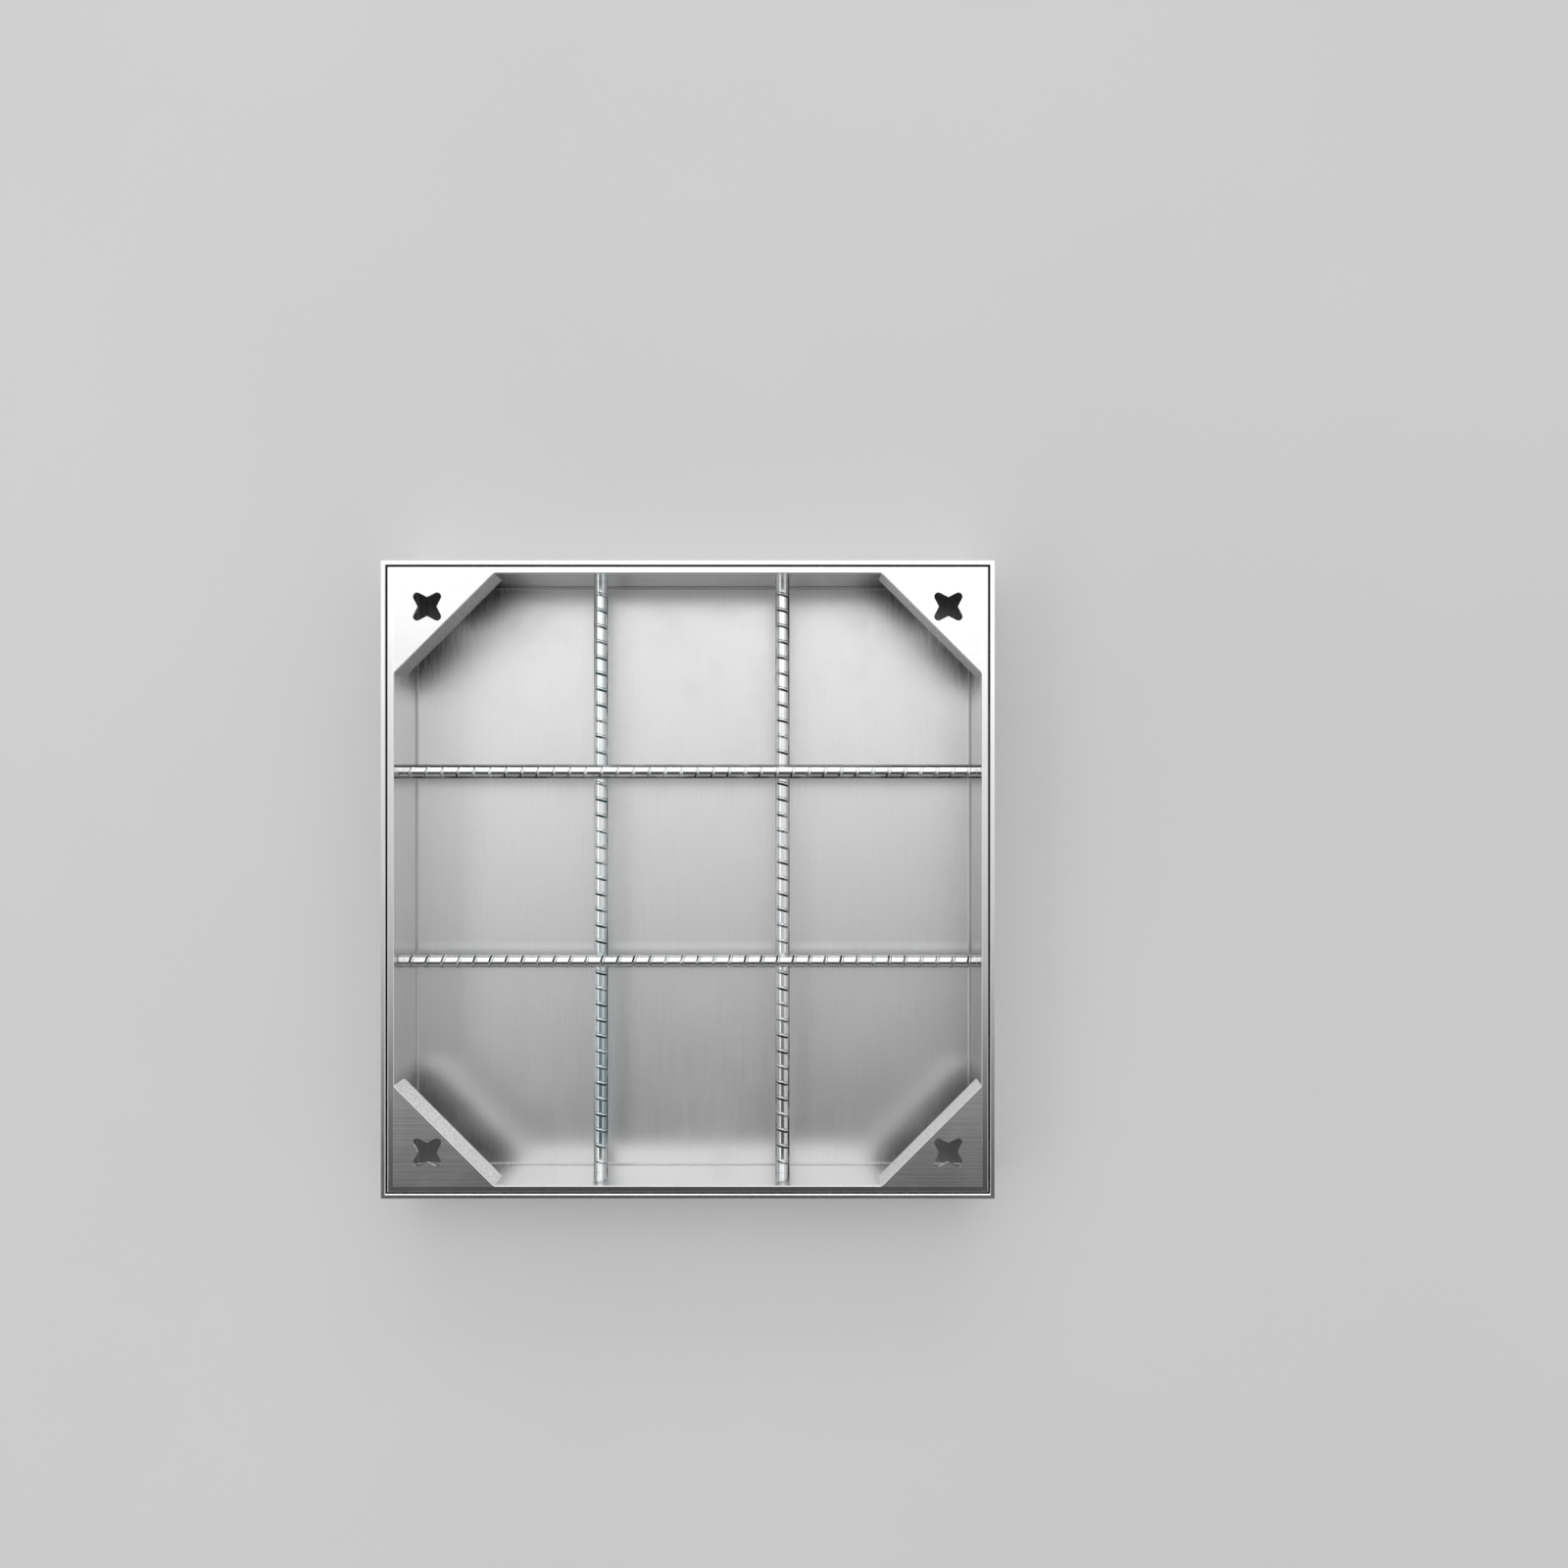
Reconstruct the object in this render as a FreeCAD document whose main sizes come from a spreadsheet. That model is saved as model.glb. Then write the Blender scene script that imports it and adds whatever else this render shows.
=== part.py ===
"""Recessed paving cover: a folded tray that rests on rubber strips in a mitred angle frame.

Millimetres. +Z is up and +Y points to the back. The origin is the middle of the frame's
underside, on the surface that the frame stands on.
"""
import FreeCAD, Part
import math
import os

import Sketcher
from FreeCAD import Placement, Rotation, Vector

# Driving dimensions, each written once
SIZES = {
    # outer frame, folded from flat strip
    "frame_width": 500.0,
    "frame_length": 520.0,
    "frame_wall": 4.0,
    "ledge_width": 28.0,
    # rubber strips on the ledge
    "seal_thickness": 3.0,
    "seal_width": 16.0,
    "seal_setback": 1.5,
    # tray, folded from one sheet
    "tray_gap": 1.5,
    "tray_sheet": 2.0,
    "recess_depth": 60.0,
    "hem_gap": 1.5,
    "hem_height": 14.0,
    # inside radius of a pressed bend, outside radius of a grooved, crisp one, and cut edges
    "bend_radius": 2.0,
    "crisp_radius": 0.8,
    "edge_break": 0.5,
    # corner plates and their lifting keyholes
    "plate_thickness": 3.0,
    "plate_leg": 81.5,
    "lip_depth": 26.5,
    "keyhole_inset": 27.0,
    "lobe_distance": 11.5,
    "lobe_radius": 3.4,
    "neck_distance": 7.8,
    # ribbed bars: a cross rib is widest at its foot, inside the core, and narrower at its crest
    "core_radius": 4.85,
    "rib_reach": 5.5,
    "rib_thickness": 1.6,
    "rib_crest": 4.0,
    "rib_foot": 6.6,
    "rib_foot_height": 3.2,
    "side_rib_reach": 5.8,
    "side_rib_thickness": 1.4,
    "rib_pitch": 13.3,
    "rib_slant": 14.0,
    "plain_end": 6.0,
    # where the bars lie: the upper pair crosses over the lower pair
    "upper_bar_depth": 29.0,
    "lower_bar_spacing": 154.0,
    "upper_bar_spacing": 159.0,
    "upper_bar_shift": 9.5,
    # round weld deposits: at each crossing, and under each end of a bar
    "crossing_weld_radius": 4.4,
    "end_weld_radius": 3.4,
}

# Sizes that follow from the driving ones
TRAY_BASE = "(sizes.frame_wall + sizes.seal_thickness)"
TRAY_HEIGHT = "(sizes.tray_sheet + sizes.recess_depth)"
FRAME_HEIGHT = f"({TRAY_BASE} + {TRAY_HEIGHT})"
RIM_WIDTH = "(2 * sizes.tray_sheet + sizes.hem_gap)"
RECESS_INSET = f"(sizes.frame_wall + sizes.tray_gap + {RIM_WIDTH})"
RECESS_HALF_WIDTH = f"(sizes.frame_width / 2 - {RECESS_INSET})"
RECESS_HALF_LENGTH = f"(sizes.frame_length / 2 - {RECESS_INSET})"
UPPER_BAR_HEIGHT = f"({FRAME_HEIGHT} - sizes.upper_bar_depth)"
LOWER_BAR_HEIGHT = f"({UPPER_BAR_HEIGHT} - 2 * sizes.rib_reach)"

# The four sides, counter-clockwise from the front: name, turn about Z, and the span across
SIDES = [
    ("front", 0, "sizes.frame_length", "sizes.frame_width"),
    ("right", 90, "sizes.frame_width", "sizes.frame_length"),
    ("back", 180, "sizes.frame_length", "sizes.frame_width"),
    ("left", 270, "sizes.frame_width", "sizes.frame_length"),
]
CORNERS = [("front_left", 0), ("front_right", 90), ("back_right", 180), ("back_left", 270)]
# Each bar and the side of the middle that it lies on
LOWER_BARS = [("lower_bar_left", "-1"), ("lower_bar_right", "1")]
UPPER_BARS = [("upper_bar_front", "-1"), ("upper_bar_back", "1")]

# A bar's round core and the round welds are drawn with flats, so that the many ribs stay light
CORE_FLATS = 12
WELD_FLATS = 8

TINY = 1e-4
Z_AXIS = Vector(0, 0, 1)

doc = FreeCAD.newDocument("recessed_paving_cover")
sheet = doc.addObject("Spreadsheet::Sheet", "sizes")


def fill_sheet():
    """One row of the sheet for each driving dimension: its name, and its value with an alias."""
    for row, (name, size) in enumerate(SIZES.items(), 1):
        sheet.set(f"A{row}", name)
        sheet.set(f"B{row}", str(size))
        sheet.setAlias(f"B{row}", name)
    doc.recompute()


def value(expression):
    """The present value of an expression in the sheet's names."""
    return float(sheet.evalExpression(expression))


def new_body(name, turn=0, at=("0", "0", "0")):
    """A body turned about Z and placed by three expressions."""
    body = doc.addObject("PartDesign::Body", name)
    body.Label = name
    body.Placement = Placement(Vector(), Rotation(Z_AXIS, turn))
    for axis, expression in zip("xyz", at):
        body.setExpression(f"Placement.Base.{axis}", expression)
    return body


def origin_feature(body, role):
    """The body's own origin plane or axis of that role."""
    return next(item for item in body.Origin.OriginFeatures if item.Role == role)


def new_sketch(body, name, plane="XY_Plane", height="0"):
    """A sketch on one of the body's origin planes, raised along the plane's normal."""
    sketch = body.newObject("Sketcher::SketchObject", name)
    sketch.AttachmentSupport = [(origin_feature(body, plane), "")]
    sketch.MapMode = "FlatFace"
    sketch.setExpression("AttachmentOffset.Base.z", height)
    return sketch


def bind(sketch, kind, name, expression, *places):
    """A dimension of the sketch, driven by an expression."""
    index = sketch.addConstraint(Sketcher.Constraint(kind, *places, value(expression)))
    sketch.renameConstraint(index, name)
    sketch.setExpression(f"Constraints.{name}", expression)


def bind_point(sketch, name, line, end, point):
    """Both coordinates of a line's end, measured from the sketch's origin."""
    bind(sketch, "DistanceX", f"{name}_x", point[0], -1, 1, line, end)
    bind(sketch, "DistanceY", f"{name}_y", point[1], -1, 1, line, end)


def outline(sketch, name, points):
    """A closed outline of straight lines; each point is a pair of expressions."""
    ends = [Vector(value(x), value(y), 0) for x, y in points]
    first = sketch.GeometryCount
    count = len(points)
    for index in range(count):
        sketch.addGeometry(Part.LineSegment(ends[index], ends[(index + 1) % count]))
    for index in range(count):
        following = first + (index + 1) % count
        sketch.addConstraint(Sketcher.Constraint("Coincident", first + index, 2, following, 1))
    for index, point in enumerate(points):
        bind_point(sketch, f"{name}{index}", first + index, 1, point)


def rectangle(sketch, name, half_width, half_length):
    """A rectangle about the sketch's origin."""
    outline(sketch, name, [
        (f"-{half_width}", f"-{half_length}"),
        (half_width, f"-{half_length}"),
        (half_width, half_length),
        (f"-{half_width}", half_length),
    ])


def pad(body, name, sketch, length, both_ways=False, down=False):
    """The sketch pushed out to a length."""
    feature = body.newObject("PartDesign::Pad", name)
    feature.Profile = sketch
    feature.SideType = "Symmetric" if both_ways else "One side"
    feature.Reversed = down
    feature.setExpression("Length", length)
    doc.recompute()
    return feature


def pocket(body, name, sketch, depth, up=False):
    """The sketch cut away to a depth. It has to take something off the body."""
    before = body.Shape.Volume
    feature = body.newObject("PartDesign::Pocket", name)
    feature.Profile = sketch
    feature.Reversed = up
    feature.setExpression("Length", depth)
    doc.recompute()
    if body.Shape.Volume > before - TINY:
        raise RuntimeError(f"{body.Label}: {name} cuts nothing")
    return feature


def dress(body, name, kind, size_name, size, keep):
    """The edges of the body that the test keeps, rounded or bevelled."""
    base = body.Tip
    edges = [f"Edge{i}" for i, edge in enumerate(base.Shape.Edges, 1) if keep(edge)]
    if not edges:
        raise RuntimeError(f"{body.Label}: {name} finds no edge")
    feature = body.newObject(kind, name)
    feature.Base = (base, edges)
    feature.setExpression(size_name, size)
    doc.recompute()
    return feature


def fillet(body, name, radius, keep):
    """The edges that the test keeps, rounded to a radius."""
    return dress(body, name, "PartDesign::Fillet", "Radius", radius, keep)


def chamfer(body, name, size, keep):
    """The edges that the test keeps, bevelled at 45 degrees."""
    return dress(body, name, "PartDesign::Chamfer", "Size", size, keep)


def lies_at(edge, axis, place):
    """Whether the whole edge lies at one place along an axis of the body."""
    box = edge.BoundBox
    low, high = getattr(box, f"{axis}Min"), getattr(box, f"{axis}Max")
    return abs(low - place) < TINY and abs(high - place) < TINY


def side_place(turn, across, inset, height):
    """The place on one side of the frame, at an inset from its outside."""
    outward = Rotation(Z_AXIS, turn).multVec(Vector(0, -1, 0))
    reach = f"({across} / 2 - {inset})"
    return f"{round(outward.x)} * {reach}", f"{round(outward.y)} * {reach}", height


def mitre(body, length, reach, height):
    """Both ends of a strip cut at 45 degrees, with its outside edge along the body's X axis."""
    sketch = new_sketch(body, f"{body.Label}_mitre_lines")
    spare = reach
    for name, side in (("start", "-"), ("end", "")):
        outline(sketch, name, [
            (f"{side}({length} / 2 + {spare})", f"-{spare}"),
            (f"{side}({length} / 2 + {spare})", f"{reach} + {spare}"),
            (f"{side}({length} / 2 - {reach} - {spare})", f"{reach} + {spare}"),
        ])
    pocket(body, f"{body.Label}_mitres", sketch, height, up=True)


def make_frame_rail(side, turn, across, length):
    """One side of the frame: an angle with a bent corner, mitred at both ends."""
    body = new_body(f"frame_rail_{side}", turn, side_place(turn, across, "0", "0"))
    reach = "(sizes.frame_wall + sizes.ledge_width)"
    section = new_sketch(body, f"{body.Label}_section", "YZ_Plane")
    outline(section, "angle", [
        ("0", "0"),
        (reach, "0"),
        (reach, "sizes.frame_wall"),
        ("sizes.frame_wall", "sizes.frame_wall"),
        ("sizes.frame_wall", FRAME_HEIGHT),
        ("0", FRAME_HEIGHT),
    ])
    pad(body, f"{body.Label}_length", section, length, both_ways=True)
    wall = value("sizes.frame_wall")
    top = value(FRAME_HEIGHT)
    fillet(body, f"{body.Label}_inner_bend", "sizes.bend_radius",
           lambda edge: lies_at(edge, "Y", wall) and lies_at(edge, "Z", wall))
    fillet(body, f"{body.Label}_outer_bend", "sizes.bend_radius + sizes.frame_wall",
           lambda edge: lies_at(edge, "Y", 0) and lies_at(edge, "Z", 0))
    chamfer(body, f"{body.Label}_top_edges", "sizes.edge_break",
            lambda edge: lies_at(edge, "Z", top) and (lies_at(edge, "Y", 0) or lies_at(edge, "Y", wall)))
    mitre(body, length, reach, FRAME_HEIGHT)
    return body


def make_seal_strip(side, turn, across, length):
    """One rubber strip, laid on the ledge near its inner edge and mitred at both ends."""
    inset = "(sizes.frame_wall + sizes.ledge_width - sizes.seal_setback - sizes.seal_width)"
    place = side_place(turn, across, inset, "sizes.frame_wall")
    body = new_body(f"seal_strip_{side}", turn, place)
    section = new_sketch(body, f"{body.Label}_section", "YZ_Plane")
    outline(section, "strip", [
        ("0", "0"),
        ("sizes.seal_width", "0"),
        ("sizes.seal_width", "sizes.seal_thickness"),
        ("0", "sizes.seal_thickness"),
    ])
    strip_length = f"({length} - 2 * {inset})"
    pad(body, f"{body.Label}_length", section, strip_length, both_ways=True)
    mitre(body, strip_length, "sizes.seal_width", "sizes.seal_thickness")
    return body


def make_tray_pan():
    """The tray: floor and four walls of one sheet, the rim folded out and down as an open hem."""
    body = new_body("tray_pan", at=("0", "0", TRAY_BASE))
    wall_half_width = f"({RECESS_HALF_WIDTH} + sizes.tray_sheet)"
    wall_half_length = f"({RECESS_HALF_LENGTH} + sizes.tray_sheet)"
    rim_half_width = f"({RECESS_HALF_WIDTH} + {RIM_WIDTH})"
    rim_half_length = f"({RECESS_HALF_LENGTH} + {RIM_WIDTH})"
    gap_half_width = f"({rim_half_width} - sizes.tray_sheet)"
    gap_half_length = f"({rim_half_length} - sizes.tray_sheet)"

    block = new_sketch(body, "pan_outline")
    rectangle(block, "wall", wall_half_width, wall_half_length)
    pad(body, "pan_block", block, TRAY_HEIGHT)
    fillet(body, "pan_outer_bends", "sizes.bend_radius + sizes.tray_sheet",
           lambda edge: lies_at(edge, "Z", 0))

    flange = new_sketch(body, "rim_flange_outline", height=TRAY_HEIGHT)
    rectangle(flange, "outside", rim_half_width, rim_half_length)
    rectangle(flange, "inside", wall_half_width, wall_half_length)
    pad(body, "rim_flange", flange, "sizes.tray_sheet", down=True)

    lip = new_sketch(body, "rim_return_outline", height=TRAY_HEIGHT)
    rectangle(lip, "outside", rim_half_width, rim_half_length)
    rectangle(lip, "inside", gap_half_width, gap_half_length)
    pad(body, "rim_return", lip, "sizes.hem_height", down=True)

    recess = new_sketch(body, "recess_outline", height=TRAY_HEIGHT)
    rectangle(recess, "recess", RECESS_HALF_WIDTH, RECESS_HALF_LENGTH)
    pocket(body, "recess", recess, "sizes.recess_depth")
    floor = value("sizes.tray_sheet")
    fillet(body, "pan_inner_bends", "sizes.bend_radius", lambda edge: lies_at(edge, "Z", floor))
    top = value(TRAY_HEIGHT)
    fillet(body, "rim_edges", "sizes.crisp_radius", lambda edge: lies_at(edge, "Z", top))
    return body


def keyhole_outline(sketch):
    """Four round lobes on the diagonals, joined at the four necks between them."""
    centre = "sizes.keyhole_inset"
    middle = Vector(value(centre), value(centre), 0)
    neck_distance = value("sizes.neck_distance")
    lobe_distance = value("sizes.lobe_distance")
    radius = value("sizes.lobe_radius")
    lobe_offset = "sizes.lobe_distance * cos(45 deg)"
    quarters = range(4)

    def neck(quarter):
        return middle + Rotation(Z_AXIS, 90 * quarter).multVec(Vector(neck_distance, 0, 0))

    for quarter in quarters:
        lobe = middle + Rotation(Z_AXIS, 90 * quarter + 45).multVec(Vector(lobe_distance, 0, 0))
        to_neck = neck(quarter) - lobe
        tangent = math.degrees(math.acos(radius / to_neck.Length))
        start = math.degrees(math.atan2(to_neck.y, to_neck.x)) + tangent
        end = 2 * (90 * quarter + 45) - start
        circle = Part.Circle(lobe, Z_AXIS, radius)
        arc = Part.ArcOfCircle(circle, math.radians(start), math.radians(end))
        sketch.addGeometry(Part.LineSegment(neck(quarter), arc.StartPoint))
        sketch.addGeometry(arc)
        sketch.addGeometry(Part.LineSegment(arc.EndPoint, neck(quarter + 1)))

    signs = [("", ""), ("-", ""), ("-", "-"), ("", "-")]
    necks = [("", "0 *"), ("0 *", ""), ("-", "0 *"), ("0 *", "-")]
    for quarter in quarters:
        line_in = 3 * quarter
        arc = line_in + 1
        line_out = line_in + 2
        next_line = 3 * ((quarter + 1) % len(quarters))
        sketch.addConstraint(Sketcher.Constraint("Tangent", line_in, 2, arc, 1))
        sketch.addConstraint(Sketcher.Constraint("Tangent", arc, 2, line_out, 1))
        sketch.addConstraint(Sketcher.Constraint("Coincident", line_out, 2, next_line, 1))
        bind(sketch, "Radius", f"lobe{quarter}", "sizes.lobe_radius", arc)
        sign_x, sign_y = signs[quarter]
        for kind, sign in (("DistanceX", sign_x), ("DistanceY", sign_y)):
            bind(sketch, kind, f"lobe{quarter}_{kind}", f"{centre} + {sign or '+'}{lobe_offset}", -1, 1, arc, 3)
        neck_x, neck_y = necks[quarter]
        bind_point(sketch, f"neck{quarter}", line_in, 1, (
            f"{centre} + {neck_x}(sizes.neck_distance)",
            f"{centre} + {neck_y}(sizes.neck_distance)",
        ))


def make_corner_plate(corner, turn):
    """A triangular plate welded into one corner of the tray, with a lip turned down on its long side."""
    spot = Rotation(Z_AXIS, turn).multVec(Vector(-1, -1, 0))
    body = new_body(f"corner_plate_{corner}", turn, (
        f"{round(spot.x)} * {RECESS_HALF_WIDTH}",
        f"{round(spot.y)} * {RECESS_HALF_LENGTH}",
        FRAME_HEIGHT,
    ))
    leg = "sizes.plate_leg"
    plate = new_sketch(body, f"{body.Label}_outline")
    outline(plate, "plate", [("0", "0"), (leg, "0"), ("0", leg)])
    pad(body, f"{body.Label}_plate", plate, "sizes.plate_thickness", down=True)

    inner_leg = f"({leg} - sizes.plate_thickness * sqrt(2))"
    lip = new_sketch(body, f"{body.Label}_lip_outline")
    outline(lip, "lip", [(leg, "0"), ("0", leg), ("0", inner_leg), (inner_leg, "0")])
    pad(body, f"{body.Label}_lip", lip, "sizes.lip_depth", down=True)

    keyhole = new_sketch(body, f"{body.Label}_keyhole_outline")
    keyhole_outline(keyhole)
    pocket(body, f"{body.Label}_keyhole", keyhole, "sizes.plate_thickness")

    long_side = value(leg) * math.sqrt(2)
    fillet(body, f"{body.Label}_fold", "sizes.crisp_radius",
           lambda edge: lies_at(edge, "Z", 0) and abs(edge.Length - long_side) < TINY)
    return body


def make_ribbed_bar(name, turn, place, length):
    """A ribbed bar along the body's X axis: core, two ribs along it and slanted ribs across it."""
    body = new_body(name, turn, place)
    core = new_sketch(body, f"{name}_core_section", "YZ_Plane")
    corner_angles = [(index + 0.5) * 360 / CORE_FLATS for index in range(CORE_FLATS)]
    outline(core, "core", [
        (f"sizes.core_radius * cos({angle} deg)", f"sizes.core_radius * sin({angle} deg)")
        for angle in corner_angles
    ])
    pad(body, f"{name}_core", core, length, both_ways=True)

    side_ribs = new_sketch(body, f"{name}_side_rib_section", "YZ_Plane")
    rectangle(side_ribs, "side", "sizes.side_rib_reach", "sizes.side_rib_thickness / 2")
    pad(body, f"{name}_side_ribs", side_ribs, length, both_ways=True)

    rib_run = f"(floor(({length} - 2 * sizes.plain_end) / sizes.rib_pitch) * sizes.rib_pitch)"
    cross_rib = new_sketch(body, f"{name}_cross_rib_section", "YZ_Plane", f"-{rib_run} / 2")
    cross_rib.AttachmentOffset = Placement(cross_rib.AttachmentOffset.Base, Rotation(Vector(0, 1, 0), 1))
    cross_rib.setExpression("AttachmentOffset.Rotation.Angle", "sizes.rib_slant * 1 deg")
    for part, up in (("upper", ""), ("lower", "-")):
        outline(cross_rib, part, [
            ("-sizes.rib_foot / 2", f"{up}sizes.rib_foot_height"),
            ("sizes.rib_foot / 2", f"{up}sizes.rib_foot_height"),
            ("sizes.rib_crest / 2", f"{up}sizes.rib_reach"),
            ("-sizes.rib_crest / 2", f"{up}sizes.rib_reach"),
        ])
    first_rib = pad(body, f"{name}_first_cross_rib", cross_rib, "sizes.rib_thickness", both_ways=True)

    pattern = body.newObject("PartDesign::LinearPattern", f"{name}_cross_ribs")
    pattern.Originals = [first_rib]
    pattern.Direction = (origin_feature(body, "X_Axis"), [""])
    pattern.setExpression("Length", rib_run)
    pattern.setExpression("Occurrences", f"{rib_run} / sizes.rib_pitch + 1")
    body.Tip = pattern
    doc.recompute()
    return body


def lower_bar_place(side):
    """The middle of a lower bar's axis."""
    return f"{side} * sizes.lower_bar_spacing / 2", "0", LOWER_BAR_HEIGHT


def upper_bar_place(side):
    """The middle of an upper bar's axis."""
    return "0", f"sizes.upper_bar_shift + {side} * sizes.upper_bar_spacing / 2", UPPER_BAR_HEIGHT


def make_bars():
    """Two bars from front to back, and two over them from left to right, all wall to wall."""
    bars = {}
    for name, side in LOWER_BARS:
        bars[name] = make_ribbed_bar(name, 90, lower_bar_place(side), f"(2 * {RECESS_HALF_LENGTH})")
    for name, side in UPPER_BARS:
        bars[name] = make_ribbed_bar(name, 0, upper_bar_place(side), f"(2 * {RECESS_HALF_WIDTH})")
    return bars


def weld(name, radius, length, place, direction, *neighbours):
    """A deposit built out from a place in a direction, and shaped by the pieces that it joins."""
    deposit = doc.addObject("Part::Prism", f"{name}_deposit")
    deposit.Polygon = WELD_FLATS
    deposit.setExpression("Circumradius", radius)
    deposit.setExpression("Height", length)
    deposit.Placement = Placement(Vector(), Rotation(Z_AXIS, direction))
    for axis, expression in zip("xyz", place):
        deposit.setExpression(f"Placement.Base.{axis}", expression)
    for neighbour in neighbours:
        shaped = doc.addObject("Part::Cut", f"{name}_beside_{neighbour.Label}")
        shaped.Base = deposit
        shaped.Tool = neighbour
        deposit = shaped
    deposit.Label = name
    return deposit


def make_crossing_welds(bars):
    """One deposit between the bars at each crossing."""
    welds = []
    radius = "sizes.crossing_weld_radius"
    bottom = f"({UPPER_BAR_HEIGHT} - sizes.rib_reach - {radius})"
    for upper, upper_side in UPPER_BARS:
        for lower, lower_side in LOWER_BARS:
            place = (lower_bar_place(lower_side)[0], upper_bar_place(upper_side)[1], bottom)
            name = f"crossing_weld_{upper.split('_')[-1]}_{lower.split('_')[-1]}"
            welds.append(weld(name, radius, f"2 * {radius}", place, Z_AXIS, bars[upper], bars[lower]))
    return welds


def bar_end_spots():
    """For each end of each bar: its name, a spot under it inside the wall's sheet, and the way inward."""
    depth = "0.4 * sizes.end_weld_radius"
    for end in (-1, 1):
        for name, side in LOWER_BARS:
            x, _, height = lower_bar_place(side)
            place = (x, f"{end} * ({RECESS_HALF_LENGTH} + {depth})", f"{height} - sizes.core_radius")
            yield name, place, Vector(0, -end, 0)
        for name, side in UPPER_BARS:
            _, y, height = upper_bar_place(side)
            place = (f"{end} * ({RECESS_HALF_WIDTH} + {depth})", y, f"{height} - sizes.core_radius")
            yield name, place, Vector(-end, 0, 0)


def make_end_welds(bars, tray_pan):
    """A small deposit under each end of each bar, against the tray's wall. All eight are one node."""
    welds = []
    radius = "sizes.end_weld_radius"
    for name, spot, inward in bar_end_spots():
        welds.append(weld(f"{name}_end_weld", radius, f"1.4 * {radius}", spot, inward, bars[name], tray_pan))
    group = doc.addObject("Part::Compound", "bar_end_welds")
    group.Links = welds
    group.Label = "bar_end_welds"
    return group


def make_parts():
    """Every sub-part of the cover."""
    parts = []
    for side, turn, across, length in SIDES:
        parts.append(make_frame_rail(side, turn, across, length))
        parts.append(make_seal_strip(side, turn, across, length))
    tray_pan = make_tray_pan()
    parts.append(tray_pan)
    for corner, turn in CORNERS:
        parts.append(make_corner_plate(corner, turn))
    bars = make_bars()
    parts += bars.values()
    parts += make_crossing_welds(bars)
    parts.append(make_end_welds(bars, tray_pan))
    return parts


def write_parts(parts):
    """Stops at a failed object or a bad shape, and then writes one file for each sub-part."""
    doc.recompute()
    for item in doc.Objects:
        if "Invalid" in item.State or "Error" in item.State:
            raise RuntimeError(f"{item.Label} failed: {item.State}")
    for part in parts:
        if part.Shape.isNull() or not part.Shape.isValid():
            raise RuntimeError(f"{part.Label} has no valid shape")
    os.makedirs("parts", exist_ok=True)
    for part in parts:
        part.Shape.exportStep(f"parts/{part.Label}.step")
        print(f"{part.Label}: {len(part.Shape.Solids)} solid, {part.Shape.Volume / 1000:.2f} cm3")


fill_sheet()
write_parts(make_parts())
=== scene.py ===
"""The looks of the recessed paving cover: brushed steel, zinc-plated ribbed bars, and a pale studio.

Metres. +Z is up and +Y points to the back, which is the top of the picture.
"""

import math
from collections import namedtuple

import bpy
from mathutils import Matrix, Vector


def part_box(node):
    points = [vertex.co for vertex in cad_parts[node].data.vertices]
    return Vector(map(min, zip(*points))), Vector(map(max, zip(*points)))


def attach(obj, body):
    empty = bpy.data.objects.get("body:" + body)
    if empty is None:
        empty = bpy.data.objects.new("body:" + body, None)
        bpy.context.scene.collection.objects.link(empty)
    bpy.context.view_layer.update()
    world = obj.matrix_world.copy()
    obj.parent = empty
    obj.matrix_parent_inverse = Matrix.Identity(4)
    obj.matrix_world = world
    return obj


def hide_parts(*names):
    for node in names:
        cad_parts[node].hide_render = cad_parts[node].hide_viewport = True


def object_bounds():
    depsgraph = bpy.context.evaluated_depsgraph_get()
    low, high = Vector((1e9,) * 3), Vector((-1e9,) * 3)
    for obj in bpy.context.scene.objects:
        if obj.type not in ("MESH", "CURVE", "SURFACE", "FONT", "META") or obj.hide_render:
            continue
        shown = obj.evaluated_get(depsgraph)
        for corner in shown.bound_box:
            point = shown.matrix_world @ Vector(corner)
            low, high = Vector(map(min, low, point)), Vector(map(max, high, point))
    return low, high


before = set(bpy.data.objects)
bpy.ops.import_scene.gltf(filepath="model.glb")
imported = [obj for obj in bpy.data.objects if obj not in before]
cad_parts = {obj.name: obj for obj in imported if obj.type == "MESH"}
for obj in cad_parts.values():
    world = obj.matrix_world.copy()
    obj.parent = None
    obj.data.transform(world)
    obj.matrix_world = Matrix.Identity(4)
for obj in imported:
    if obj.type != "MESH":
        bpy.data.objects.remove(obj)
cad_low, cad_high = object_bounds()

SIDES = ("front", "right", "back", "left")
CORNERS = ("front_left", "front_right", "back_right", "back_left")

# The tray's floor, and the corner plates: their underside, and where x + y lies on their long side
TRAY_SHEET = 0.002
PLATE_THICKNESS = 0.003
plate_low, plate_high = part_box("corner_plate_back_right")
FLOOR_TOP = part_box("tray_pan")[0].z + TRAY_SHEET
PLATE_UNDERSIDE = plate_high.z - PLATE_THICKNESS
PLATE_LINE = plate_high.x + plate_low.y
# The welds ground flush round the corner plates
WELD_WIDTH = 0.0008

# Ribbed bars: round core, crescent ribs across it, and two ribs along its sides
CORE_RADIUS = 0.00495
RIB_HEIGHT = 0.0005
RIB_PITCH = 0.0133
RIB_SLANT = math.radians(14)
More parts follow.
